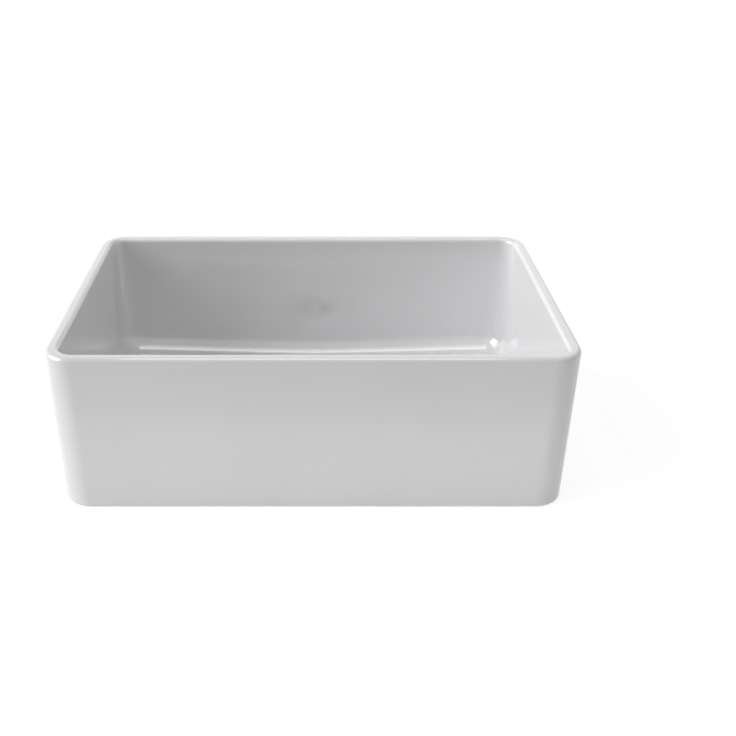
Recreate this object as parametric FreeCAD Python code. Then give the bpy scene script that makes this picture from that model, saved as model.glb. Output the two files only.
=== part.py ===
import FreeCAD, Part
import math
import os

V = FreeCAD.Vector

# Basin casting. All sizes are in mm. The origin is the middle of the
# underside, +X runs to the right, -Y faces the plain apron and +Z is up.
WIDTH = 762.0
DEPTH = 483.0
HEIGHT = 254.0
WALL = 20.0
CORNER_R = 44.0
RIM_OUT_R = 6.6
RIM_IN_R = 7.0
BASE_EDGE_R = 5.0

# Bowl floor: a shallow trough that falls to the drain from every side.
FLOOR_T = 21.0
FLOOR_SLOPE = 0.03
TROUGH_HALF = 78.0
FLOOR_FALL_Y = 3.0
COVE_R = 34.0
FLOOR_CORNER_R = 42.0

# Recessed panel on the rear apron, open at the bottom edge.
PANEL_SIDE = 79.0
PANEL_BELOW_RIM = 44.5
PANEL_CORNER_R = 26.0
PANEL_DEPTH = 3.2
PANEL_STEP = 6.6

# Hollow underside inside a flat foot, and the drain hole.
FOOT_WIDTH = 46.0
RELIEF = 3.0
RELIEF_EDGE_R = 2.0
DRAIN_HOLE_R = 44.5
SEAT_GAP = 2.5
SEAT_SLOPE = 6.0

# Clearances: cup in the drain hole, round fits, and basket in the cup.
CUP_CLEAR = 2.0
FIT_GAP = 0.3
BASKET_GAP = 0.9

# Roundings of small edges, and the tolerance for picking edges by place.
EDGE_R = 0.8
FINE_EDGE_R = 0.4
LUG_EDGE_R = 1.5
PICK = 1e-3

# Strainer body, a drawn steel cup with a flange.
SHEET = 1.2
FLANGE_W = 14.5
FLANGE_SINK = 1.0
MOUTH_R = 5.0
CUP_TAPER_H = 9.0
CUP_TAPER_IN = 10.3
CUP_BEND_R = 4.0
THREAD_SPARE = 8.0
CROSS_HUB_W = 3.7
CROSS_BAR = 5.0

# Clamp stack, from the seal on the floor to the nut under the basin.
SEAL_T = 1.5
SEAL_INSET = 1.5
GASKET_T = 5.0
GASKET_W = 14.2
FRICTION_T = 1.2
FRICTION_W = 12.7
LOCK_NUT_H = 12.0
LOCK_WALL = 6.5
LOCK_FLANGE_T = 3.0
LOCK_FLANGE_W = 5.2
LOCK_LUGS = 6
LOCK_LUG_W = 11.0

# Tailpiece, the outlet spud above it and the nut that joins them.
TAIL_R = 19.05
TAIL_WALL = 0.9
TAIL_LENGTH = 101.6
TAIL_NECK_H = 6.0
TAIL_NECK = 0.25
TAIL_FLANGE_T = 1.6
TAIL_FLANGE_W = 3.55
TAIL_WASHER_T = 2.2
SPUD_STEP = 0.45
SPUD_WALL = 4.3
SPUD_H = 22.0
SPUD_FLANGE_W = 3.2
SPUD_FLANGE_T = 2.5
OUTLET_LEDGE = 1.0
COUPLING_WALL = 3.6
COUPLING_LIP_T = 3.0
COUPLING_CLEAR = 4.0
COUPLING_RIBS = 8
COUPLING_RIB_W = 7.0
COUPLING_RIB_H = 2.4

# Basket stem, with the nut, washer and rubber stopper at its foot.
POST_R = 3.0
POST_SHOULDER = 0.6
POST_COLLAR_W = 2.9
POST_COLLAR_H = 3.0
POST_TAIL = 12.0
POST_NUT_T = 2.4
POST_NUT_WALL = 1.7
WASHER_W = 5.3
WASHER_T = 0.8
STOPPER_OVERLAP = 6.5
STOPPER_WEB = 2.4
STOPPER_SPARE = 0.4
STOPPER_LIP = 1.5
STOPPER_CROWN_R = 2.0
SPACER_H = 6.0
SPACER_WALL = 3.7
SNAP_WIRE_R = 0.9
SNAP_GROOVE = 0.6
SNAP_ABOVE_TIP = 3.0
SNAP_SPLIT = 2.6

# Perforated basket, and the knob that lifts it.
BASKET_SHEET = 0.8
BASKET_TAPER = 6.6
BASKET_LIP_W = 2.8
BASKET_LIP_H = 3.0
BASKET_DROP = 6.0
BASKET_BEND_R = 5.0
HOLE_R = 1.6
HOLE_PITCH = 8.6
HOLE_RING_STEP = 5.5
WALL_HOLES = 24
WALL_ROWS = 4
KNOB_WALL = 2.0
KNOB_FLARE = 4.4
KNOB_H = 17.0
KNOB_DROP = 3.0
KNOB_CAP_T = 5.7
KNOB_HEAD_H = 8.5
KNOB_FLARE_R = 2.5
KNOB_UNDER_R = 1.8
KNOB_UNDER_RISE = 1.0
KNOB_TOP_R = 3.2

# Radii that follow from the sizes above.
cup_r = DRAIN_HOLE_R - CUP_CLEAR
cup_in_r = cup_r - SHEET
cup_base_r = cup_in_r - CUP_TAPER_IN
flange_r = cup_r + FLANGE_W
stack_bore_r = cup_r + FIT_GAP
lock_r = stack_bore_r + LOCK_WALL
lock_flange_r = lock_r + LOCK_FLANGE_W
spud_bore_r = TAIL_R + SPUD_STEP
spud_r = spud_bore_r + SPUD_WALL
outlet_r = spud_bore_r - OUTLET_LEDGE
tail_flange_r = TAIL_R + TAIL_FLANGE_W
neck_r = TAIL_R + TAIL_NECK
stopper_r = outlet_r + STOPPER_OVERLAP
post_bore_r = POST_R + FIT_GAP
post_top_r = POST_R + POST_SHOULDER
groove_r = POST_R - SNAP_GROOVE
snap_out_r = groove_r + 2 * SNAP_WIRE_R + FIT_GAP
post_hole_r = snap_out_r + FIT_GAP
washer_r = post_bore_r + WASHER_W
basket_rim_r = cup_in_r - BASKET_GAP
basket_top_r = basket_rim_r - BASKET_LIP_W
basket_base_r = basket_top_r - BASKET_TAPER

# Heights that follow, from the floor of the bowl down and up the drain.
floor_z = RELIEF + FLOOR_T
flange_top_z = floor_z - FLANGE_SINK
flange_z = flange_top_z - SHEET
seat_z = flange_z - SEAL_T
gasket_low_z = RELIEF - GASKET_T
friction_low_z = gasket_low_z - FRICTION_T
lock_low_z = friction_low_z - LOCK_NUT_H
cup_straight_z = lock_low_z - THREAD_SPARE
cup_floor_z = cup_straight_z - CUP_TAPER_H
cup_low_z = cup_floor_z - SHEET
spud_low_z = cup_low_z - SPUD_H
tail_top_z = spud_low_z - TAIL_WASHER_T
tail_shelf_z = tail_top_z - TAIL_FLANGE_T
nut_low_z = cup_floor_z + STOPPER_SPARE
nut_top_z = nut_low_z + POST_NUT_T
washer_top_z = nut_top_z + WASHER_T
stopper_top_z = washer_top_z + STOPPER_WEB
basket_low_z = stopper_top_z + SPACER_H
basket_base_z = basket_low_z + BASKET_SHEET
basket_rim_z = flange_top_z - BASKET_DROP
knob_top_z = flange_top_z - KNOB_DROP
knob_low_z = knob_top_z - KNOB_H
post_top_z = knob_top_z - KNOB_CAP_T
groove_z = cup_floor_z - POST_TAIL + SNAP_ABOVE_TIP

Z_AXIS = V(0, 0, 1)
ORIGIN = V(0, 0, 0)


def rounded_wire(corners):
    """Closed wire through (point, radius) corners, each rounded by an arc."""
    count = len(corners)
    starts, ends, arcs = [], [], []
    for i in range(count):
        here, radius = corners[i]
        to_prev = (corners[i - 1][0] - here).normalize()
        to_next = (corners[(i + 1) % count][0] - here).normalize()
        if radius <= 0:
            starts.append(here)
            ends.append(here)
            arcs.append(None)
            continue
        half = to_prev.getAngle(to_next) / 2
        reach = radius / math.tan(half)
        first = here + to_prev * reach
        last = here + to_next * reach
        bisector = (to_prev + to_next).normalize()
        middle = here + bisector * (radius / math.sin(half) - radius)
        starts.append(first)
        ends.append(last)
        arcs.append(Part.Arc(first, middle, last).toShape())
    edges = []
    for i in range(count):
        if arcs[i]:
            edges.append(arcs[i])
        following = starts[(i + 1) % count]
        if (following - ends[i]).Length > PICK:
            edges.append(Part.makeLine(ends[i], following))
    return Part.Wire(edges)


def turned(profile):
    """Solid of revolution about Z from (radius, height, rounding) corners."""
    wire = rounded_wire([(V(r, 0, z), fillet) for r, z, fillet in profile])
    return Part.Face(wire).revolve(ORIGIN, Z_AXIS, 360)


def ring(r_in, r_out, z_low, z_high, edge=0.0):
    """Flat ring with an optional small rounding on its four edges."""
    return turned([(r_in, z_low, edge), (r_out, z_low, edge),
                   (r_out, z_high, edge), (r_in, z_high, edge)])


def rod(radius, z_low, z_high):
    return Part.makeCylinder(radius, z_high - z_low, V(0, 0, z_low))


def bar(length, width, z_low, z_high):
    """Box along X, centred on the Z axis."""
    corner = V(-length / 2, -width / 2, z_low)
    return Part.makeBox(length, width, z_high - z_low, corner)


def round_block(width, depth, radius, z_low, z_high):
    """Upright block with rounded corners, centred on the Z axis."""
    x, y = width / 2, depth / 2
    plan = [V(-x, -y, z_low), V(x, -y, z_low), V(x, y, z_low), V(-x, y, z_low)]
    wire = rounded_wire([(point, radius) for point in plan])
    return Part.Face(wire).extrude(V(0, 0, z_high - z_low))


def tapered_block(width, depth, low_r, high_r, height):
    """Upright block on z = 0, its corner radius changing with the height."""
    block = Part.makeBox(width, depth, height, V(-width / 2, -depth / 2, 0))
    upright = [e for e in block.Edges if e.BoundBox.ZLength > PICK]
    return block.makeFillet(low_r, high_r, upright)


def spun(shape, count):
    """Copies of a shape set evenly round the Z axis."""
    copies = []
    for i in range(count):
        copy = shape.copy()
        copy.rotate(ORIGIN, Z_AXIS, 360.0 * i / count)
        copies.append(copy)
    return copies


def edges_at(shape, z):
    """Edges that lie flat at one height."""
    box_edges = [(edge, edge.BoundBox) for edge in shape.Edges]
    return [e for e, b in box_edges
            if abs(b.ZMin - z) < PICK and abs(b.ZMax - z) < PICK]


def save(shape, node):
    solid = shape if shape.ShapeType == "Solid" else shape.Solids[0]
    solid.exportStep("parts/%s.step" % node)


def bowl_space():
    """The hollow of the bowl: inner walls, sloped floor and coves."""
    inner_w = WIDTH - 2 * WALL
    inner_d = DEPTH - 2 * WALL
    top = HEIGHT + WALL
    rim_corner_r = CORNER_R - WALL
    growth = (FLOOR_CORNER_R - rim_corner_r) / (HEIGHT - floor_z)
    plan = tapered_block(inner_w, inner_d, rim_corner_r + growth * HEIGHT,
                         rim_corner_r - growth * WALL, top)

    tilt = math.atan(FLOOR_SLOPE)
    trough_r = TROUGH_HALF / math.sin(tilt)
    bend_z = floor_z + trough_r * (1 - math.cos(tilt))
    end_z = bend_z + FLOOR_SLOPE * (WIDTH / 2 - TROUGH_HALF)
    far = WIDTH / 2
    left, right = V(-far, 0, end_z), V(far, 0, end_z)
    bend_l, bend_r = V(-TROUGH_HALF, 0, bend_z), V(TROUGH_HALF, 0, bend_z)
    top_l, top_r = V(-far, 0, top), V(far, 0, top)
    profile = Part.Wire([
        Part.makeLine(left, bend_l),
        Part.Arc(bend_l, V(0, 0, floor_z), bend_r).toShape(),
        Part.makeLine(bend_r, right),
        Part.makeLine(right, top_r),
        Part.makeLine(top_r, top_l),
        Part.makeLine(top_l, left)])
    fall_r = ((inner_d / 2) ** 2 + FLOOR_FALL_Y ** 2) / (2 * FLOOR_FALL_Y)
    pivot = V(0, 0, floor_z + fall_r)
    x_axis = V(1, 0, 0)
    swing = math.degrees(math.asin(DEPTH / 2 / (fall_r - top)))
    face = Part.Face(profile)
    face.rotate(pivot, x_axis, -swing)
    above_floor = face.revolve(pivot, x_axis, 2 * swing)

    space = plan.common(above_floor).Solids[0]
    wall_x, wall_y = inner_w / 2 - 1, inner_d / 2 - 1
    reach = math.hypot(wall_x - FLOOR_CORNER_R, wall_y - FLOOR_CORNER_R)
    cove = []
    for edge in space.Edges:
        middle = edge.CenterOfMass
        low = edge.BoundBox.ZMax < HEIGHT / 2
        by_wall = abs(middle.x) > wall_x or abs(middle.y) > wall_y
        in_corner = math.hypot(middle.x, middle.y) > reach
        if low and (by_wall or in_corner):
            cove.append(edge)
    return space.makeFillet(COVE_R, cove)


def panel_cut():
    """Tapered block that presses the recessed panel into the rear apron."""
    wires = []
    for y_out in (PANEL_DEPTH, -PANEL_DEPTH):
        grow = PANEL_STEP * (0.5 + y_out / PANEL_DEPTH)
        half = WIDTH / 2 - PANEL_SIDE + grow
        top = HEIGHT - PANEL_BELOW_RIM + grow
        corner = PANEL_CORNER_R + grow
        y = DEPTH / 2 + y_out
        wires.append(rounded_wire([
            (V(-half, y, -HEIGHT), 0), (V(-half, y, top), corner),
            (V(half, y, top), corner), (V(half, y, -HEIGHT), 0)]))
    return Part.makeLoft(wires, True, True)


def make_basin():
    block = round_block(WIDTH, DEPTH, CORNER_R, 0, HEIGHT)
    block = block.makeFillet(BASE_EDGE_R, edges_at(block, 0))
    block = block.makeFillet(RIM_OUT_R, edges_at(block, HEIGHT))
    body = block.cut(bowl_space())
    for face in body.Faces:
        box = face.BoundBox
        if abs(box.ZMin - HEIGHT) < PICK and abs(box.ZMax - HEIGHT) < PICK:
            outer = face.OuterWire
            inside = [w for w in face.Wires if not w.isSame(outer)][0]
    body = body.makeFillet(RIM_IN_R, inside.Edges)
    body = body.cut(panel_cut())

    relief = round_block(WIDTH - 2 * FOOT_WIDTH, DEPTH - 2 * FOOT_WIDTH,
                         CORNER_R, -RELIEF, RELIEF)
    relief = relief.makeFillet(RELIEF_EDGE_R, edges_at(relief, RELIEF))
    body = body.cut(relief)

    seat_r = flange_r + SEAT_GAP
    over = floor_z + SEAT_SLOPE
    seat = turned([(0, seat_z, 0), (seat_r, seat_z, 0),
                   (seat_r + SEAT_SLOPE, over, 0), (0, over, 0)])
    return body.cut(seat).cut(rod(DRAIN_HOLE_R, 0, over))


def make_strainer_body():
    turn_in = math.atan2(CUP_TAPER_IN, CUP_TAPER_H)
    turn_flat = math.pi / 2 - turn_in
    drop = SHEET * math.tan(turn_in / 2)
    widen = SHEET * math.tan(turn_flat / 2)
    outer_bend = CUP_BEND_R + SHEET
    shell = turned([
        (flange_r, flange_z, 0),
        (flange_r, flange_top_z, SHEET / 2),
        (cup_in_r, flange_top_z, MOUTH_R),
        (cup_in_r, cup_straight_z, CUP_BEND_R),
        (cup_base_r, cup_floor_z, CUP_BEND_R),
        (0, cup_floor_z, 0),
        (0, cup_low_z, 0),
        (cup_base_r + widen, cup_low_z, outer_bend),
        (cup_r, cup_straight_z - drop, outer_bend),
        (cup_r, flange_z, MOUTH_R - SHEET)])
    low, high = cup_low_z - SHEET, cup_floor_z + SHEET
    openings = ring(post_hole_r + CROSS_HUB_W, outlet_r, low, high)
    for cross in spun(bar(4 * outlet_r, CROSS_BAR, low, high), 4)[:2]:
        openings = openings.cut(cross)
    shell = shell.cut(openings)
    return shell.cut(rod(post_hole_r, low, high))


def make_lock_nut():
    flange_low = friction_low_z - LOCK_FLANGE_T
    nut = ring(stack_bore_r, lock_flange_r, flange_low, friction_low_z, EDGE_R)
    nut = nut.fuse(ring(stack_bore_r, lock_r, lock_low_z, friction_low_z, EDGE_R))
    lug_x = stack_bore_r + LOCK_WALL / 2
    lug = Part.makeBox(lock_flange_r - lug_x, LOCK_LUG_W, LOCK_NUT_H - LOCK_FLANGE_T / 2,
                       V(lug_x, -LOCK_LUG_W / 2, lock_low_z))
    outer = [e for e in lug.Edges if e.CenterOfMass.x > lock_flange_r - PICK]
    lug = lug.makeFillet(LUG_EDGE_R, outer)
    return nut.fuse(spun(lug, LOCK_LUGS)).removeSplitter()


def make_spud():
    flange_low = cup_low_z - SPUD_FLANGE_T
    spud_flange_r = spud_r + SPUD_FLANGE_W
    return turned([
        (spud_bore_r, cup_low_z, 0),
        (spud_flange_r, cup_low_z, FINE_EDGE_R),
        (spud_flange_r, flange_low, EDGE_R),
        (spud_r, flange_low, EDGE_R),
        (spud_r, spud_low_z, EDGE_R),
        (spud_bore_r, spud_low_z, FINE_EDGE_R)])


def make_tailpiece():
    neck_z = tail_shelf_z - TAIL_NECK_H
    tail_low_z = tail_top_z - TAIL_LENGTH
    bore_r = TAIL_R - TAIL_WALL
    return turned([
        (bore_r, tail_top_z, FINE_EDGE_R),
        (tail_flange_r, tail_top_z, FINE_EDGE_R),
        (tail_flange_r, tail_shelf_z, FINE_EDGE_R),
        (neck_r, tail_shelf_z, 0),
        (neck_r, neck_z + 2 * TAIL_NECK, 0),
        (TAIL_R, neck_z, 0),
        (TAIL_R, tail_low_z, FINE_EDGE_R),
        (bore_r, tail_low_z, FINE_EDGE_R)])


def make_coupling_nut():
    lip_low = tail_shelf_z - COUPLING_LIP_T
    top = cup_low_z - SPUD_FLANGE_T - COUPLING_CLEAR
    thread_r = spud_r + FIT_GAP
    body_r = thread_r + COUPLING_WALL
    lip_r = neck_r + FIT_GAP
    nut = turned([
        (lip_r, lip_low, FINE_EDGE_R),
        (body_r, lip_low, LUG_EDGE_R),
        (body_r, top, EDGE_R),
        (thread_r, top, EDGE_R),
        (thread_r, tail_shelf_z, 0),
        (lip_r, tail_shelf_z, 0)])
    rib_x = body_r - COUPLING_WALL / 2
    rib = Part.makeBox(COUPLING_WALL / 2 + COUPLING_RIB_H, COUPLING_RIB_W,
                       top - lip_low - COUPLING_LIP_T,
                       V(rib_x, -COUPLING_RIB_W / 2, lip_low + COUPLING_LIP_T / 2))
    outer = [e for e in rib.Edges if e.CenterOfMass.x > body_r + COUPLING_RIB_H - PICK]
    rib = rib.makeFillet(LUG_EDGE_R, outer)
    return nut.fuse(spun(rib, COUPLING_RIBS)).removeSplitter()


def make_basket_cup():
    under_lip = basket_rim_z - BASKET_SHEET
    inner_base_r = basket_base_r - BASKET_SHEET
    inner_top_r = basket_top_r - BASKET_SHEET
    shell = turned([
        (post_bore_r, basket_low_z, 0),
        (basket_base_r, basket_low_z, BASKET_BEND_R + BASKET_SHEET),
        (basket_top_r, under_lip, BASKET_SHEET),
        (basket_rim_r - BASKET_SHEET, under_lip, BASKET_SHEET / 2),
        (basket_rim_r - BASKET_SHEET, basket_rim_z - BASKET_LIP_H, 0),
        (basket_rim_r, basket_rim_z - BASKET_LIP_H, 0),
        (basket_rim_r, basket_rim_z, 1.5 * BASKET_SHEET),
        (inner_top_r, basket_rim_z, 2 * BASKET_SHEET),
        (inner_base_r, basket_base_z, BASKET_BEND_R),
        (post_bore_r, basket_base_z, 0)])
    holes = []
    first_z = basket_base_z + BASKET_BEND_R + 2 * HOLE_R
    last_z = under_lip - 4 * HOLE_R
    for row in range(WALL_ROWS):
        z = first_z + (last_z - first_z) * row / (WALL_ROWS - 1)
        drill = Part.makeCylinder(HOLE_R, basket_top_r, V(basket_base_r / 2, 0, z), V(1, 0, 0))
        drill.rotate(ORIGIN, Z_AXIS, 180.0 / WALL_HOLES * (row % 2))
        holes += spun(drill, WALL_HOLES)
    ring_r = basket_base_r - BASKET_BEND_R - BASKET_SHEET
    while ring_r > SPACER_WALL + post_bore_r + 2 * HOLE_R:
        drill = Part.makeCylinder(HOLE_R, 4 * BASKET_SHEET,
                                  V(ring_r, 0, basket_low_z - BASKET_SHEET))
        holes += spun(drill, int(2 * math.pi * ring_r / HOLE_PITCH))
        ring_r -= HOLE_RING_STEP
    return shell.cut(holes)


def make_post():
    tip_z = cup_floor_z - POST_TAIL
    collar_z = basket_base_z + POST_COLLAR_H
    collar_r = post_top_r + POST_COLLAR_W
    groove_top = groove_z + 2 * SNAP_WIRE_R + FIT_GAP
    return turned([
        (0, tip_z, 0),
        (POST_R, tip_z, EDGE_R),
        (POST_R, groove_z, 0),
        (groove_r, groove_z, 0),
        (groove_r, groove_top, 0),
        (POST_R, groove_top, 0),
        (POST_R, basket_base_z, 0),
        (collar_r, basket_base_z, FINE_EDGE_R),
        (collar_r, collar_z, EDGE_R),
        (post_top_r, collar_z, EDGE_R),
        (post_top_r, post_top_z, FINE_EDGE_R),
        (0, post_top_z, 0)])


def make_knob():
    bore_r = post_top_r + FIT_GAP
    waist_r = post_top_r + KNOB_WALL
    head_r = waist_r + KNOB_FLARE
    shoulder = knob_top_z - KNOB_HEAD_H
    return turned([
        (bore_r, knob_low_z, 0),
        (waist_r, knob_low_z, EDGE_R),
        (waist_r, shoulder, KNOB_FLARE_R),
        (head_r, shoulder + KNOB_UNDER_RISE, KNOB_UNDER_R),
        (head_r, knob_top_z, KNOB_TOP_R),
        (0, knob_top_z, 0),
        (0, post_top_z, 0),
        (bore_r, post_top_z, 0)])


def make_stopper():
    recess_r = washer_r + FIT_GAP
    return turned([
        (post_bore_r, washer_top_z, 0),
        (recess_r, washer_top_z, 0),
        (recess_r, cup_floor_z, FINE_EDGE_R),
        (stopper_r, cup_floor_z, FINE_EDGE_R),
        (stopper_r, cup_floor_z + STOPPER_LIP, FINE_EDGE_R),
        (stopper_r - stopper_top_z + cup_floor_z, stopper_top_z, STOPPER_CROWN_R),
        (post_bore_r, stopper_top_z, 0)])


def make_post_nut():
    side = math.pi / 3
    corner_r = (post_bore_r + POST_NUT_WALL) / math.cos(side / 2)
    points = [V(corner_r * math.cos(side * i), corner_r * math.sin(side * i), nut_low_z)
              for i in range(6)]
    wire = Part.makePolygon(points + points[:1])
    nut = Part.Face(wire).extrude(V(0, 0, POST_NUT_T))
    return nut.cut(rod(post_bore_r, nut_low_z - POST_NUT_T, nut_top_z + POST_NUT_T))


def make_snap_ring():
    wire_z = groove_z + SNAP_WIRE_R
    centre_r = snap_out_r - SNAP_WIRE_R
    coil = Part.makeTorus(centre_r, SNAP_WIRE_R, V(0, 0, wire_z))
    split = Part.makeBox(2 * snap_out_r, SNAP_SPLIT, 4 * SNAP_WIRE_R,
                         V(0, -SNAP_SPLIT / 2, wire_z - 2 * SNAP_WIRE_R))
    return coil.cut(split)


os.makedirs("parts", exist_ok=True)
save(make_basin(), "basin")
save(make_strainer_body(), "strainer_body")
save(ring(cup_r + MOUTH_R, flange_r - SEAL_INSET, seat_z, flange_z), "flange_seal")
gasket_r = stack_bore_r + GASKET_W
save(ring(stack_bore_r, gasket_r, gasket_low_z, RELIEF, EDGE_R), "under_gasket")
friction_r = stack_bore_r + FRICTION_W
save(ring(stack_bore_r, friction_r, friction_low_z, gasket_low_z), "friction_ring")
save(make_lock_nut(), "lock_nut")
save(make_spud(), "outlet_spud")
save(ring(spud_bore_r, tail_flange_r, tail_top_z, spud_low_z), "tailpiece_washer")
save(make_tailpiece(), "tailpiece")
save(make_coupling_nut(), "coupling_nut")
save(make_basket_cup(), "basket_cup")
save(make_post(), "basket_post")
save(make_knob(), "basket_knob")
spacer_r = post_bore_r + SPACER_WALL
save(ring(post_bore_r, spacer_r, stopper_top_z, basket_low_z, FINE_EDGE_R), "basket_spacer")
save(make_stopper(), "basket_stopper")
save(ring(post_bore_r, washer_r, nut_top_z, washer_top_z), "basket_washer")
save(make_post_nut(), "basket_nut")
save(make_snap_ring(), "basket_snap_ring")
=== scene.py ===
import bpy, bmesh, math
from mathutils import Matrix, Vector


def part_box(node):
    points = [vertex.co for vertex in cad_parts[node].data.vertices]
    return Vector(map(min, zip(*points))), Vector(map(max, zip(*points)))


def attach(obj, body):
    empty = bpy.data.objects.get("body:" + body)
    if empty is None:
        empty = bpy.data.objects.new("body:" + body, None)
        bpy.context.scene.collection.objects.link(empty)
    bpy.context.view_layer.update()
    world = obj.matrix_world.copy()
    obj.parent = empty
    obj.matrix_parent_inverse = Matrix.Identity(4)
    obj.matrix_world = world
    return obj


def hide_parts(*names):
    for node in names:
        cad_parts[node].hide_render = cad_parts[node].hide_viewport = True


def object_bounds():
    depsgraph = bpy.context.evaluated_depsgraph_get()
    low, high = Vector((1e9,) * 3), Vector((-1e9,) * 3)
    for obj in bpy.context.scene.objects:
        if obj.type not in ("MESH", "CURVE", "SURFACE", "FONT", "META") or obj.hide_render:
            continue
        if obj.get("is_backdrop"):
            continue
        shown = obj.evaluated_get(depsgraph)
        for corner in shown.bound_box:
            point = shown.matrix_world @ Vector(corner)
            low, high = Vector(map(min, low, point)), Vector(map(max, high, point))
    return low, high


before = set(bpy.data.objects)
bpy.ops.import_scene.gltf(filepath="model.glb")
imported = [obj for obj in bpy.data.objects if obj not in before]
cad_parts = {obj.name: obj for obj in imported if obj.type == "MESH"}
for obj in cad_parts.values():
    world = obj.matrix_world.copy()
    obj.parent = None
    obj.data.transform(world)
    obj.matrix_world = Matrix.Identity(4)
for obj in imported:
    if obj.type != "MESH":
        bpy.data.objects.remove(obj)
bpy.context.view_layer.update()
bpy.context.scene.view_settings.view_transform = "Standard"


# Basin
# The sink itself: one thick casting of fireclay, slip cast in a plaster mould,
# sprayed with white glaze and fired, so every edge is a soft rounding.
# One long side is the plain apron, the other has a shallow recessed panel.
sink_width, sink_depth, sink_height = 0.762, 0.483, 0.254
wall, corner = 0.020, 0.044
floor_level, cove, inner_corner = 0.024, 0.034, 0.042
relief, foot = 0.003, 0.046
hole_radius, seat_radius, slope_radius, seat_level = 0.0445, 0.0595, 0.0655, 0.0203
outer_rim, inner_rim, foot_edge, seat_edge_rounding = 0.0066, 0.007, 0.005, 0.002
trough_half, floor_slope, cross_radius = 0.078, 0.03, 8.18
hollow_corner, roof_rounding, hollow_rounding = 0.044, 0.004, 0.0015
near = 1e-4


def round_off(bm, geom, size, steps, affect="EDGES"):
    """Rounds edges or corner points off, in so many steps."""
    bmesh.ops.bevel(
        bm, geom=geom, offset=size, segments=steps, profile=0.5, affect=affect, material=-1)


def points(geom):
    """The points among the parts that an operator returns."""
    return [v for v in geom if isinstance(v, bmesh.types.BMVert)]


def free_edges(geom):
    """The far edges of a ring that was just extruded."""
    edges = [e for e in geom if isinstance(e, bmesh.types.BMEdge)]
    return [e for e in edges if all(v in geom for v in e.verts)]


def rounded_outline(bm, width, depth, radius, level):
    """One flat rounded rectangle, with points along its straight sides."""
    old = set(bm.verts)
    bmesh.ops.create_grid(bm, x_segments=1, y_segments=1, size=0.5)
    new = [v for v in bm.verts if v not in old]
    bmesh.ops.scale(bm, vec=(width, depth, 1), verts=new)
    bmesh.ops.translate(bm, vec=(0, 0, level), verts=new)
    round_off(bm, new, radius, 16, "VERTICES")
    new = [v for v in bm.verts if v not in old]
    face = new[0].link_faces[0]
    sides = [e for e in face.edges if e.calc_length() > 0.1]
    bmesh.ops.subdivide_edges(bm, edges=sides, cuts=31)
    return face


def inside(co):
    """How far a point lies in from the sink's outside, seen from above."""
    x = abs(co.x) - sink_width / 2 + corner
    y = abs(co.y) - sink_depth / 2 + corner
    return corner - math.hypot(max(x, 0), max(y, 0)) - min(max(x, y), 0)


def ring_edges(bm, level, inset):
    """The closed line of edges at one height, so far in from the outside."""
    return [e for e in bm.edges if all(
        abs(v.co.z - level) < near / 10 and abs(inside(v.co) - inset) < near for v in e.verts)]


def grow_ring(bm, edges, radius, level):
    """Extends an open edge ring to a circle round the drain."""
    out = bmesh.ops.extrude_edge_only(bm, edges=edges)["geom"]
    for v in points(out):
        v.co = Vector((v.co.x, v.co.y, 0)).normalized() * radius + Vector((0, 0, level))
    return free_edges(out)


clay = bmesh.new()
base = rounded_outline(clay, sink_width, sink_depth, corner, 0)
block = bmesh.ops.extrude_face_region(clay, geom=[base])["geom"]
bmesh.ops.translate(clay, vec=(0, 0, sink_height), verts=points(block))
lid = [f for f in block if isinstance(f, bmesh.types.BMFace)]
bmesh.ops.inset_region(clay, faces=lid, thickness=wall, use_even_offset=True)
mouth = lid[0].edges[:]
pan = rounded_outline(
    clay, sink_width - 2 * wall, sink_depth - 2 * wall, inner_corner, floor_level)
pan_edge = pan.edges[:]
bmesh.ops.delete(clay, geom=lid, context="FACES_ONLY")
bmesh.ops.bridge_loops(clay, edges=mouth + pan_edge)
round_off(clay, pan_edge, cove, 14)
round_off(clay, ring_edges(clay, sink_height, 0), outer_rim, 7)
round_off(clay, ring_edges(clay, sink_height, wall), inner_rim, 7)
round_off(clay, ring_edges(clay, 0, 0), foot_edge, 5)

# The floor runs from the cove to the drain, and falls towards it from every side.
floor_face, under_face = sorted(
    (f for f in clay.faces if len(f.verts) > 4), key=lambda f: -f.calc_center_median().z)
floor_edge, under_edge = floor_face.edges[:], under_face.edges[:]
bmesh.ops.delete(clay, geom=[floor_face, under_face], context="FACES_ONLY")
slope_edge = grow_ring(clay, floor_edge, slope_radius, floor_level)
spokes = {e for r in slope_edge for v in r.verts for e in v.link_edges} - set(slope_edge)
bmesh.ops.subdivide_edges(clay, edges=list(spokes), cuts=15)
for v in clay.verts:
    if inside(v.co) > wall - near and v.co.z < floor_level + cove + near / 10:
        x = abs(v.co.x)
        trough = x * x / (2 * trough_half) if x < trough_half else x - trough_half / 2
        v.co.z += floor_slope * trough + v.co.y ** 2 / (2 * cross_radius)
seat_edge = grow_ring(clay, slope_edge, seat_radius, seat_level)
mouth_edge = grow_ring(clay, seat_edge, hole_radius, seat_level)
under_mouth = grow_ring(clay, mouth_edge, hole_radius, relief)
round_off(clay, slope_edge, seat_edge_rounding, 3)

# The underside is hollowed a little, so the sink stands on a ring of foot.
hollow = rounded_outline(clay, sink_width - 2 * foot, sink_depth - 2 * foot, hollow_corner, 0)
hollow_edge = hollow.edges[:]
bmesh.ops.delete(clay, geom=[hollow], context="FACES_ONLY")
bmesh.ops.bridge_loops(clay, edges=under_edge + hollow_edge)
roof = bmesh.ops.extrude_edge_only(clay, edges=hollow_edge)["geom"]
bmesh.ops.translate(clay, vec=(0, 0, relief), verts=points(roof))
roof_edge = free_edges(roof)
bmesh.ops.bridge_loops(clay, edges=roof_edge + under_mouth)
round_off(clay, roof_edge, roof_rounding, 3)
round_off(clay, hollow_edge, hollow_rounding, 2)
bmesh.ops.recalc_face_normals(clay, faces=clay.faces)

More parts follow.
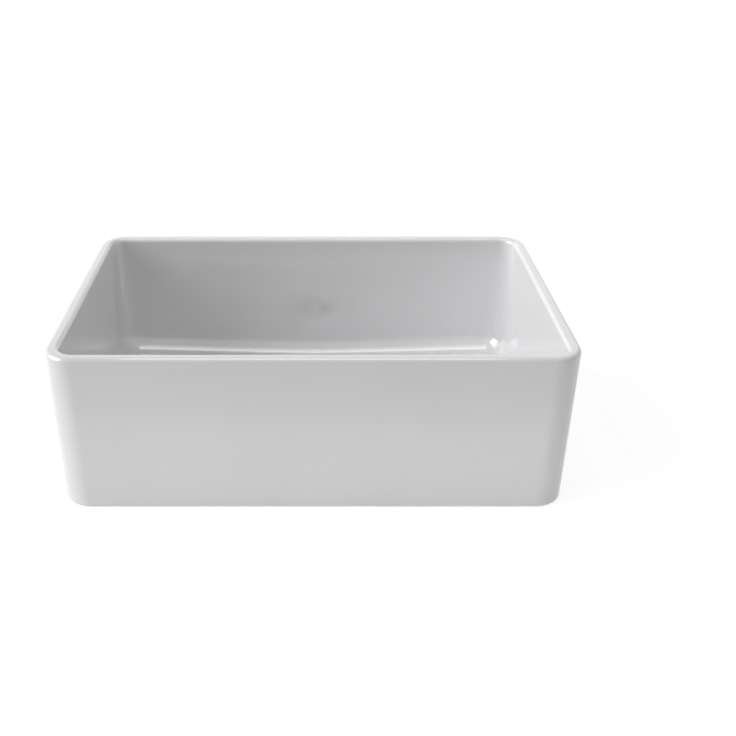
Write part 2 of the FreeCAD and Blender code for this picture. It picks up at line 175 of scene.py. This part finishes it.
# The recessed panel of the rear side, open at the bottom: its outline is cut
# into the flat wall as fine lines, and the points inside it are pressed in.
panel_half, panel_top, panel_corner = 0.302, 0.2095, 0.026
panel_depth, panel_slope = 0.0032, 0.0066
cut_top, cut_reach, wall_top = 0.217, 0.34, 0.2475
flat_wall = sink_depth / 2 - foot_edge - near
line_count, line_gap, line_margin = 35, 0.00109, 0.004


def cut_rear(point, normal, high):
    """Cuts one line across the flat of the rear wall, below a height."""
    faces = [f for f in clay.faces if all(
        v.co.y > flat_wall and v.co.z < high and abs(v.co.x) < cut_reach for v in f.verts)]
    geom = set(faces) | {e for f in faces for e in f.edges} | {v for f in faces for v in f.verts}
    bmesh.ops.bisect_plane(clay, geom=list(geom), dist=1e-6, plane_co=point, plane_no=normal)


cut_rear((0, 0, cut_top), (0, 0, 1), wall_top)
lines = [panel_half - panel_corner - line_margin + line_gap * n for n in range(line_count)]
for x in [-x for x in reversed(lines)] + lines:
    cut_rear((x, 0, 0), (1, 0, 0), cut_top + near)
for x in lines:
    cut_rear((0, 0, x - panel_half + panel_top), (0, 0, 1), cut_top + near)
for v in clay.verts:
    if v.co.y > flat_wall and v.co.z < cut_top + near:
        x = abs(v.co.x) - panel_half + panel_corner
        z = v.co.z - panel_top + panel_corner
        into = panel_corner - math.hypot(max(x, 0), max(z, 0)) - min(max(x, z), 0)
        t = min(max(into / panel_slope + 0.5, 0), 1)
        v.co.y -= panel_depth * t * t * (3 - 2 * t)


def set_piece(bm, name, node, body, slot, *finishes):
    """Makes the mesh a named object, in place of the plain solid of a node."""
    mesh = bpy.data.meshes.new(name)
    bm.to_mesh(mesh)
    bm.free()
    mesh.shade_smooth()
    piece = bpy.data.objects.new(name, mesh)
    bpy.context.scene.collection.objects.link(piece)
    for finish in finishes:
        mesh.materials.append(finish)
    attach(piece, body)
    if node:
        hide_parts(node)
    return piece


def new_finish(name):
    """A node material whose shader waits for its own detail."""
    finish = bpy.data.materials.new(name)
    finish.use_nodes = True
    return finish, finish.node_tree, finish.node_tree.nodes["Principled BSDF"]


def add_node(tree, kind, **values):
    """One node with its settings and its unlinked inputs filled in."""
    node = tree.nodes.new(kind)
    for key, value in values.items():
        if hasattr(node, key):
            setattr(node, key, value)
        else:
            node.inputs[key.replace("_", " ")].default_value = value
    return node


def add_ramp(tree, *stops):
    """A colour ramp of two stops, each a position and a colour."""
    ramp = add_node(tree, "ShaderNodeValToRGB")
    for element, (position, colour) in zip(ramp.color_ramp.elements, stops):
        element.position, element.color = position, colour
    return ramp


glaze, tree, shader = new_finish("white_fireclay_glaze")
shader.inputs["IOR"].default_value = 2.0
place = add_node(tree, "ShaderNodeTexCoord")
cloud = add_node(tree, "ShaderNodeTexNoise", Scale=7.0, Detail=3.0)
tint = add_ramp(tree, (0.35, (0.806, 0.806, 0.816, 1)), (0.65, (0.823, 0.823, 0.833, 1)))
gloss = add_node(tree, "ShaderNodeMapRange", To_Min=0.05, To_Max=0.09)
peel = add_node(tree, "ShaderNodeTexNoise", Scale=160.0, Detail=2.0)
ripple = add_node(tree, "ShaderNodeBump", Strength=0.05, Distance=0.0006)
tree.links.new(place.outputs["Object"], cloud.inputs["Vector"])
tree.links.new(place.outputs["Object"], peel.inputs["Vector"])
tree.links.new(cloud.outputs["Fac"], tint.inputs["Fac"])
tree.links.new(cloud.outputs["Fac"], gloss.inputs["Value"])
tree.links.new(peel.outputs["Fac"], ripple.inputs["Height"])
tree.links.new(tint.outputs["Color"], shader.inputs["Base Color"])
tree.links.new(gloss.outputs["Result"], shader.inputs["Roughness"])
tree.links.new(ripple.outputs["Normal"], shader.inputs["Normal"])

bare_clay, tree, shader = new_finish("bare_fireclay")
place = add_node(tree, "ShaderNodeTexCoord")
grog = add_node(tree, "ShaderNodeTexNoise", Scale=420.0, Detail=5.0, Roughness=0.65)
buff = add_ramp(tree, (0.36, (0.44, 0.37, 0.29, 1)), (0.56, (0.66, 0.60, 0.51, 1)))
pits = add_node(tree, "ShaderNodeBump", Strength=0.5, Distance=0.0006)
dry = add_node(tree, "ShaderNodeMapRange", To_Min=0.8, To_Max=0.95)
tree.links.new(place.outputs["Object"], grog.inputs["Vector"])
tree.links.new(grog.outputs["Fac"], buff.inputs["Fac"])
tree.links.new(grog.outputs["Fac"], pits.inputs["Height"])
tree.links.new(grog.outputs["Fac"], dry.inputs["Value"])
tree.links.new(buff.outputs["Color"], shader.inputs["Base Color"])
tree.links.new(dry.outputs["Result"], shader.inputs["Roughness"])
tree.links.new(pits.outputs["Normal"], shader.inputs["Normal"])
glaze_stop, facing_down = relief + 0.001, -0.7
for f in clay.faces:
    middle = f.calc_center_median()
    below = f.normal.z < facing_down or inside(middle) > foot / 2
    f.material_index = 1 if below and middle.z < glaze_stop else 0
basin = set_piece(clay, "basin_casting", "basin", "sink", "white_glaze", glaze, bare_clay)
basin.modifiers.new("true_flats", "WEIGHTED_NORMAL").keep_sharp = False


# Flange seal
# A thin ring of closed-cell foam under the strainer's flange, squeezed into
# the seat of the drain hole when the lock nut is tightened.
round_steps = 96


def turn(profile, rounding):
    """Rounds the corners of a closed outline and turns it once round the drain."""
    bm = bmesh.new()
    face = bm.faces.new([bm.verts.new((r, 0, z)) for r, z in profile])
    round_off(bm, face.verts[:], rounding, 3, "VERTICES")
    edges = bm.edges[:]
    bmesh.ops.delete(bm, geom=bm.faces[:], context="FACES_ONLY")
    bmesh.ops.spin(
        bm, geom=edges + bm.verts[:], cent=(0, 0, 0), axis=(0, 0, 1), angle=math.tau,
        steps=round_steps, use_merge=True)
    bmesh.ops.recalc_face_normals(bm, faces=bm.faces)
    return bm


def new_group(name, outputs, **inputs):
    """A shared effect: it reads the place on the piece and some values."""
    group = bpy.data.node_groups.new(name, "ShaderNodeTree")
    group.interface.new_socket("Place", in_out="INPUT", socket_type="NodeSocketVector")
    for label, value in inputs.items():
        socket = group.interface.new_socket(label, in_out="INPUT", socket_type="NodeSocketFloat")
        socket.default_value = value
    for label in outputs:
        group.interface.new_socket(label, in_out="OUTPUT", socket_type="NodeSocketFloat")
    return group, add_node(group, "NodeGroupInput"), add_node(group, "NodeGroupOutput")


def place_group(tree, group, **values):
    """Puts a shared effect into a material, on the piece's own coordinates."""
    node = add_node(tree, "ShaderNodeGroup", node_tree=group)
    for label, value in values.items():
        node.inputs[label].default_value = value
    place = add_node(tree, "ShaderNodeTexCoord")
    tree.links.new(place.outputs["Object"], node.inputs["Place"])
    return node


def mix_colours(tree, factor):
    """A colour mixer driven by a value: its two sides and its result."""
    mix = add_node(tree, "ShaderNodeMix", data_type="RGBA")
    tree.links.new(factor, mix.inputs["Factor"])
    first, second = [s for s in mix.inputs if s.type == "RGBA"]
    return first, second, next(s for s in mix.outputs if s.type == "RGBA")


def blend_colours(tree, factor, dark, light):
    """Two colours of one material, mixed by a value that changes over it."""
    first, second, mixed = mix_colours(tree, factor)
    first.default_value, second.default_value = dark + (1,), light + (1,)
    return mixed


def spread(tree, factor, low, high):
    """Stretches a value that changes over the surface between two ends."""
    span = add_node(tree, "ShaderNodeMapRange", To_Min=low, To_Max=high)
    tree.links.new(factor, span.inputs["Value"])
    return span.outputs["Result"]


grain, enter, leave = new_group("fine_grain", ("Grain", "Patches"), Size=400.0)
fine = add_node(grain, "ShaderNodeTexNoise", Detail=4.0, Roughness=0.6)
broad = add_node(grain, "ShaderNodeTexNoise", Scale=45.0, Detail=3.0)
grain.links.new(enter.outputs["Place"], fine.inputs["Vector"])
grain.links.new(enter.outputs["Size"], fine.inputs["Scale"])
grain.links.new(enter.outputs["Place"], broad.inputs["Vector"])
grain.links.new(fine.outputs["Fac"], leave.inputs["Grain"])
grain.links.new(broad.outputs["Fac"], leave.inputs["Patches"])


def rough_finish(name, size, dark, light, rough, depth, metallic=0.0):
    """A matt material with a grain: foam, rubber, fibre, nylon and cast metal."""
    finish, tree, shader = new_finish(name)
    shader.inputs["Metallic"].default_value = metallic
    detail = place_group(tree, grain, Size=size)
    bump = add_node(tree, "ShaderNodeBump", Strength=0.6, Distance=depth)
    colour = blend_colours(tree, detail.outputs["Patches"], dark, light)
    tree.links.new(detail.outputs["Grain"], bump.inputs["Height"])
    tree.links.new(bump.outputs["Normal"], shader.inputs["Normal"])
    tree.links.new(colour, shader.inputs["Base Color"])
    tree.links.new(spread(tree, detail.outputs["Grain"], *rough), shader.inputs["Roughness"])
    return finish


foam = rough_finish(
    "seal_foam", 900.0, (0.30, 0.30, 0.30), (0.40, 0.40, 0.39), (0.75, 0.95), 0.0004)
seal_inner, seal_outer, seal_rounding = 0.0475, 0.0555, 0.0005
low, high = (point.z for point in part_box("flange_seal"))
seal = turn(
    ((seal_inner, low), (seal_outer, low), (seal_outer, high), (seal_inner, high)), seal_rounding)
set_piece(seal, "flange_seal_ring", "flange_seal", "sink", "sealing_foam", foam)


# Strainer body
# The drain's fixed cup, drawn from stainless sheet with a flange that sits in
# the sink's seat, four openings in its floor and a rolled thread outside.
turned, enter, leave = new_group("turned_lines", ("Lines", "Marks"), Spacing=2600.0)
axes = add_node(turned, "ShaderNodeSeparateXYZ")
flat = add_node(turned, "ShaderNodeCombineXYZ")
far = add_node(turned, "ShaderNodeVectorMath", operation="LENGTH")
across = add_node(turned, "ShaderNodeMath", operation="MULTIPLY")
along = add_node(turned, "ShaderNodeMath", operation="MULTIPLY")
way = add_node(turned, "ShaderNodeVectorMath", operation="NORMALIZE")
turn_axes = add_node(turned, "ShaderNodeSeparateXYZ")
rolled = add_node(turned, "ShaderNodeCombineXYZ")
streak = add_node(turned, "ShaderNodeTexNoise", Scale=1.0, Detail=3.0, Roughness=0.65)
smear = add_node(
    turned, "ShaderNodeTexNoise", Scale=70.0, Detail=4.0, Roughness=0.6, Distortion=0.4)
turned.links.new(enter.outputs["Place"], axes.inputs[0])
turned.links.new(axes.outputs["X"], flat.inputs["X"])
turned.links.new(axes.outputs["Y"], flat.inputs["Y"])
turned.links.new(flat.outputs[0], far.inputs[0])
turned.links.new(flat.outputs[0], way.inputs[0])
turned.links.new(way.outputs["Vector"], turn_axes.inputs[0])
turned.links.new(far.outputs["Value"], across.inputs[0])
turned.links.new(enter.outputs["Spacing"], across.inputs[1])
turned.links.new(axes.outputs["Z"], along.inputs[0])
turned.links.new(enter.outputs["Spacing"], along.inputs[1])
turned.links.new(across.outputs[0], rolled.inputs["X"])
turned.links.new(along.outputs[0], rolled.inputs["Y"])
turned.links.new(turn_axes.outputs["X"], rolled.inputs["Z"])
turned.links.new(rolled.outputs[0], streak.inputs["Vector"])
turned.links.new(enter.outputs["Place"], smear.inputs["Vector"])
turned.links.new(streak.outputs["Fac"], leave.inputs["Lines"])
turned.links.new(smear.outputs["Fac"], leave.inputs["Marks"])


def metal_finish(name, spacing, dark, light, rough, depth):
    """A turned or polished metal with fine rings and handling marks."""
    finish, tree, shader = new_finish(name)
    shader.inputs["Metallic"].default_value = 1.0
    detail = place_group(tree, turned, Spacing=spacing)
    bump = add_node(tree, "ShaderNodeBump", Strength=0.35, Distance=depth)
    colour = blend_colours(tree, detail.outputs["Lines"], dark, light)
    tree.links.new(detail.outputs["Lines"], bump.inputs["Height"])
    tree.links.new(bump.outputs["Normal"], shader.inputs["Normal"])
    tree.links.new(colour, shader.inputs["Base Color"])
    tree.links.new(spread(tree, detail.outputs["Marks"], *rough), shader.inputs["Roughness"])
    return finish


def dress_node(node, finish):
    """Gives a solid that keeps its own shape its finished material."""
    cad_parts[node].material_slots[0].material = finish


def cut_thread(name, radius, height, pitch, low, turns, slot, finish):
    """A ridge wound round the outside of a threaded piece, with its root sunk in."""
    bm = bmesh.new()
    root = -0.0002
    section = ((root, 0.0), (height, 0.35), (height, 0.55), (root, 0.9))
    ridge = bm.faces.new([bm.verts.new((radius + r, 0, low + z * pitch)) for r, z in section])
    bmesh.ops.spin(
        bm, geom=[ridge] + ridge.edges[:] + ridge.verts[:], cent=(0, 0, 0), axis=(0, 0, 1),
        angle=math.tau * turns, dvec=(0, 0, pitch / round_steps), steps=int(round_steps * turns))
    bmesh.ops.recalc_face_normals(bm, faces=bm.faces)
    set_piece(bm, name, None, "sink", slot, finish)


drawn_steel = metal_finish(
    "drawn_steel", 2600.0, (0.52, 0.52, 0.51), (0.68, 0.68, 0.67), (0.20, 0.38), 0.00005)
dress_node("strainer_body", drawn_steel)
thread_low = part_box("lock_nut")[0].z - 0.0075
cut_thread(
    "strainer_thread", radius=0.0425, height=0.00026, pitch=0.0021, low=thread_low, turns=4.5,
    slot="drawn_steel", finish=drawn_steel)


# Under gasket and friction ring
# A thick rubber ring that seals the drain against the sink's underside, and
# the fibre ring below it that lets the nut turn without dragging the rubber.
rubber = rough_finish(
    "moulded_rubber", 700.0, (0.018, 0.018, 0.018), (0.034, 0.034, 0.033), (0.55, 0.8), 0.00015)
gasket_inner, gasket_outer, gasket_bulge, gasket_rounding = 0.0428, 0.0564, 0.0570, 0.0008
low, high = (point.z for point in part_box("under_gasket"))
gasket = turn((
    (gasket_inner, low), (gasket_outer, low), (gasket_bulge, (low + high) / 2),
    (gasket_outer, high), (gasket_inner, high)), gasket_rounding)
set_piece(gasket, "under_gasket_ring", "under_gasket", "sink", "black_rubber", rubber)
fibre = rough_finish(
    "pressed_fibre", 1300.0, (0.24, 0.16, 0.09), (0.38, 0.27, 0.16), (0.8, 0.95), 0.0002)
dress_node("friction_ring", fibre)


# Lock nut
# The big nut under the sink that clamps the strainer, cast in brass with six
# lugs for the spanner and left with its cast skin.
cast_brass = rough_finish(
    "cast_brass", 550.0, (0.42, 0.33, 0.17), (0.56, 0.46, 0.26), (0.38, 0.58), 0.0002, metallic=1.0)
dress_node("lock_nut", cast_brass)


# Outlet spud
# The threaded brass outlet below the strainer, turned from bar and left bare,
# fixed under the cup's floor.
brass = metal_finish(
    "turned_brass", 2200.0, (0.55, 0.37, 0.15), (0.74, 0.54, 0.26), (0.22, 0.42), 0.00008)
dress_node("outlet_spud", brass)
thread_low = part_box("outlet_spud")[0].z + 0.0008
cut_thread(
    "spud_thread", radius=0.0238, height=0.00024, pitch=0.0018, low=thread_low, turns=10.0,
    slot="raw_brass", finish=brass)


# Tailpiece, its washer and coupling nut
# The chromed brass tube that takes the waste down to the trap, held up by a
# ribbed slip nut on the spud, with a nylon washer squeezed between them.
nylon = rough_finish(
    "white_nylon", 500.0, (0.70, 0.70, 0.66), (0.78, 0.78, 0.74), (0.40, 0.55), 0.0001)
dress_node("tailpiece_washer", nylon)
chrome_tube = metal_finish(
    "chrome_tube", 900.0, (0.66, 0.67, 0.69), (0.74, 0.75, 0.77), (0.05, 0.14), 0.00001)
dress_node("tailpiece", chrome_tube)

# The chrome covers the outside only: the bore keeps the dull brass of the tube.
bore_radius, bore_brass, bore_dullness = 0.01815, (0.50, 0.37, 0.18, 1), 0.4
tree = chrome_tube.node_tree
shader = tree.nodes["Principled BSDF"]
place = add_node(tree, "ShaderNodeTexCoord")
level = add_node(tree, "ShaderNodeVectorMath", operation="MULTIPLY")
level.inputs[1].default_value = (1, 1, 0)
far = add_node(tree, "ShaderNodeVectorMath", operation="LENGTH")
bore = add_node(
    tree, "ShaderNodeMapRange", From_Min=bore_radius + 0.0001, From_Max=bore_radius + 0.0003,
    To_Min=1.0, To_Max=0.0)
chrome_side, brass_side, coat = mix_colours(tree, bore.outputs["Result"])
brass_side.default_value = bore_brass
dull = add_node(tree, "ShaderNodeMath", operation="MULTIPLY_ADD")
dull.inputs[1].default_value = bore_dullness
tree.links.new(place.outputs["Object"], level.inputs[0])
tree.links.new(level.outputs["Vector"], far.inputs[0])
tree.links.new(far.outputs["Value"], bore.inputs["Value"])
tree.links.new(shader.inputs["Base Color"].links[0].from_socket, chrome_side)
tree.links.new(bore.outputs["Result"], dull.inputs[0])
tree.links.new(shader.inputs["Roughness"].links[0].from_socket, dull.inputs[2])
tree.links.new(coat, shader.inputs["Base Color"])
tree.links.new(dull.outputs[0], shader.inputs["Roughness"])
chrome_nut = metal_finish(
    "chrome_nut", 700.0, (0.62, 0.63, 0.65), (0.72, 0.73, 0.75), (0.07, 0.18), 0.00002)
dress_node("coupling_nut", chrome_nut)


# Basket
# The lift-out strainer basket, pressed from thin stainless sheet and punched
# with rows of round holes, with a turned-down lip that rests on the mouth.
basket_steel = metal_finish(
    "basket_steel", 2000.0, (0.56, 0.56, 0.55), (0.72, 0.72, 0.71), (0.16, 0.32), 0.00004)
dress_node("basket_cup", basket_steel)


# Post, knob and spacer
# The steel post through the basket's floor, with the knob it is lifted by
# screwed on top, and a nylon spacer that sets the stopper's height.
stem_steel = metal_finish(
    "stem_steel", 1800.0, (0.46, 0.46, 0.46), (0.60, 0.60, 0.60), (0.24, 0.40), 0.00005)
dress_node("basket_post", stem_steel)
knob_steel = metal_finish(
    "polished_knob", 1500.0, (0.62, 0.62, 0.61), (0.72, 0.72, 0.71), (0.08, 0.20), 0.00002)
dress_node("basket_knob", knob_steel)
dress_node("basket_spacer", nylon)


# Stopper
# A moulded rubber disc under the basket that closes the strainer's openings,
# held by a steel washer and nut, with a wire clip on the post's tip.
post_hole, washer_pocket, disc_edge = 0.0033, 0.0089, 0.0250
disc_thickness, disc_rounding = 0.0024, 0.0005
low, high = (point.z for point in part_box("basket_stopper"))
stopper = turn((
    (post_hole, high - disc_thickness), (washer_pocket, high - disc_thickness),
    (washer_pocket, low), (disc_edge - 0.0010, low), (disc_edge, low + 0.0014),
    (disc_edge, high - 0.0018), (disc_edge - 0.0014, high), (post_hole, high)), disc_rounding)
set_piece(stopper, "stopper_disc", "basket_stopper", "basket", "black_rubber", rubber)
dress_node("basket_washer", stem_steel)
dress_node("basket_nut", stem_steel)
spring_steel = metal_finish(
    "spring_steel", 1800.0, (0.34, 0.34, 0.35), (0.46, 0.46, 0.47), (0.25, 0.42), 0.00003)
dress_node("basket_snap_ring", spring_steel)


# Studio
# A plain white floor under the sink, open below it where the drain hangs,
# with soft boxes round it and the camera where the photograph was taken.
paper_level, paper_reach, paper_lap = -0.0003, 6.0, 0.011
ground = bmesh.new()
gap = rounded_outline(
    ground, sink_width - 2 * paper_lap, sink_depth - 2 * paper_lap, corner - paper_lap, paper_level)
gap_edge = gap.edges[:]
bmesh.ops.delete(ground, geom=[gap], context="FACES_ONLY")
grow_ring(ground, gap_edge, paper_reach, paper_level)
ground.normal_update()
bmesh.ops.reverse_faces(ground, faces=[f for f in ground.faces if f.normal.z < 0])
mesh = bpy.data.meshes.new("studio_floor")
ground.to_mesh(mesh)
ground.free()
studio_floor = bpy.data.objects.new("studio_floor", mesh)
bpy.context.scene.collection.objects.link(studio_floor)


def seen_directly(tree):
    """One where a ray comes from the camera, a mirror or clear glass, else nought."""
    ray = add_node(tree, "ShaderNodeLightPath")
    either = add_node(tree, "ShaderNodeMath", operation="MAXIMUM")
    seen = add_node(tree, "ShaderNodeMath", operation="MAXIMUM")
    tree.links.new(ray.outputs["Is Camera Ray"], either.inputs[0])
    tree.links.new(ray.outputs["Is Glossy Ray"], either.inputs[1])
    tree.links.new(either.outputs[0], seen.inputs[0])
    tree.links.new(ray.outputs["Is Transmission Ray"], seen.inputs[1])
    return seen.outputs[0]


paper = bpy.data.materials.new("white_paper")
paper.use_nodes = True
tree = paper.node_tree
tree.nodes.remove(tree.nodes["Principled BSDF"])
place = add_node(tree, "ShaderNodeTexCoord")
reach = add_node(tree, "ShaderNodeVectorMath", operation="LENGTH")
fade = add_node(
    tree, "ShaderNodeMapRange", interpolation_type="SMOOTHSTEP", From_Min=0.5, From_Max=1.2,
    To_Min=0.8, To_Max=1.0)
lift = add_node(tree, "ShaderNodeMath", operation="MULTIPLY")
tree.links.new(place.outputs["Object"], reach.inputs[0])
tree.links.new(reach.outputs["Value"], fade.inputs["Value"])
tree.links.new(fade.outputs["Result"], lift.inputs[1])
tree.links.new(seen_directly(tree), lift.inputs[0])
matt = add_node(tree, "ShaderNodeBsdfDiffuse")
matt.inputs["Color"].default_value = (0.35, 0.35, 0.35, 1)
glow = add_node(tree, "ShaderNodeEmission")
both = add_node(tree, "ShaderNodeAddShader")
under = add_node(tree, "ShaderNodeBsdfTransparent")
sides = add_node(tree, "ShaderNodeNewGeometry")
pick = add_node(tree, "ShaderNodeMixShader")
tree.links.new(lift.outputs[0], glow.inputs["Strength"])
tree.links.new(matt.outputs[0], both.inputs[0])
tree.links.new(glow.outputs[0], both.inputs[1])
tree.links.new(sides.outputs["Backfacing"], pick.inputs["Fac"])
tree.links.new(both.outputs[0], pick.inputs[1])
tree.links.new(under.outputs[0], pick.inputs[2])
tree.links.new(pick.outputs[0], tree.nodes["Material Output"].inputs["Surface"])
mesh.materials.append(paper)
studio_floor.visible_shadow = False
studio_floor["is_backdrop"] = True

world = bpy.data.worlds.new("white_room")
bpy.context.scene.world = world
world.use_nodes = True
tree = world.node_tree
room_light = 0.22
strength = spread(tree, seen_directly(tree), room_light, 1.0)
tree.nodes["Background"].inputs["Color"].default_value = (1, 1, 1, 1)
tree.links.new(strength, tree.nodes["Background"].inputs["Strength"])


def soft_box(name, around, rise, away, width, height, watts, mirrored=True):
    """One studio lamp behind a diffuser, turned and raised round the sink's middle."""
    lamp = bpy.data.lights.new(name, "AREA")
    lamp.shape, lamp.size, lamp.size_y, lamp.energy = "RECTANGLE", width, height, watts
    box = bpy.data.objects.new(name, lamp)
    bpy.context.scene.collection.objects.link(box)
    box.rotation_euler = (math.radians(90 - rise), 0, math.radians(around))
    box.location = box.rotation_euler.to_matrix() @ Vector((0, 0, away))
    box.location.z += sink_height / 2
    box.visible_camera, box.visible_glossy = False, mirrored
    return box


# Each lamp: degrees round and up, then metres away, wide and high, then watts.
soft_box("left_box", -85, 25, 20.0, 17.0, 16.0, 3450)
overhead = (
    soft_box("ceiling_front", 0, 86, 6.0, 3.0, 3.0, 34),
    soft_box("ceiling_rear", 180, 80, 6.0, 3.0, 2.4, 33))
soft_box("low_fill", 0, -8, 0.5, 1.6, 0.06, 0.55, mirrored=False)
soft_box("front_fill", -30, 8, 2.4, 1.6, 0.8, 2.2, mirrored=False)
soft_box("right_fill", 112, 16, 2.4, 1.2, 1.2, 6, mirrored=False)
soft_box("rear_box", 180, 17.5, 2.4, 3.0, 1.38, 5.6)
soft_box("under_fill", 0, -90, 2.4, 2.6, 2.6, 40, mirrored=False)

# The lamps overhead pass the drain's bright metal by, so its flats don't burn out.
metal = bpy.data.collections.new("drain_metal")
for node in ("strainer_body", "basket_cup", "basket_knob", "basket_post"):
    metal.objects.link(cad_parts[node])
for held in metal.collection_objects:
    held.light_linking.link_state = "EXCLUDE"
for box in overhead:
    box.light_linking.receiver_collection = metal

camera = bpy.data.objects.new("camera", bpy.data.cameras.new("camera"))
bpy.context.scene.collection.objects.link(camera)
camera.location = (-0.0025, -1.3694, 0.8615)
camera.rotation_euler = (math.radians(60.9), 0, 0)
camera.data.lens, camera.data.sensor_width = 45.38, 36
camera.data.shift_x, camera.data.shift_y = 0.0766, 0.0064
bpy.context.scene.camera = camera

low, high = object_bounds()
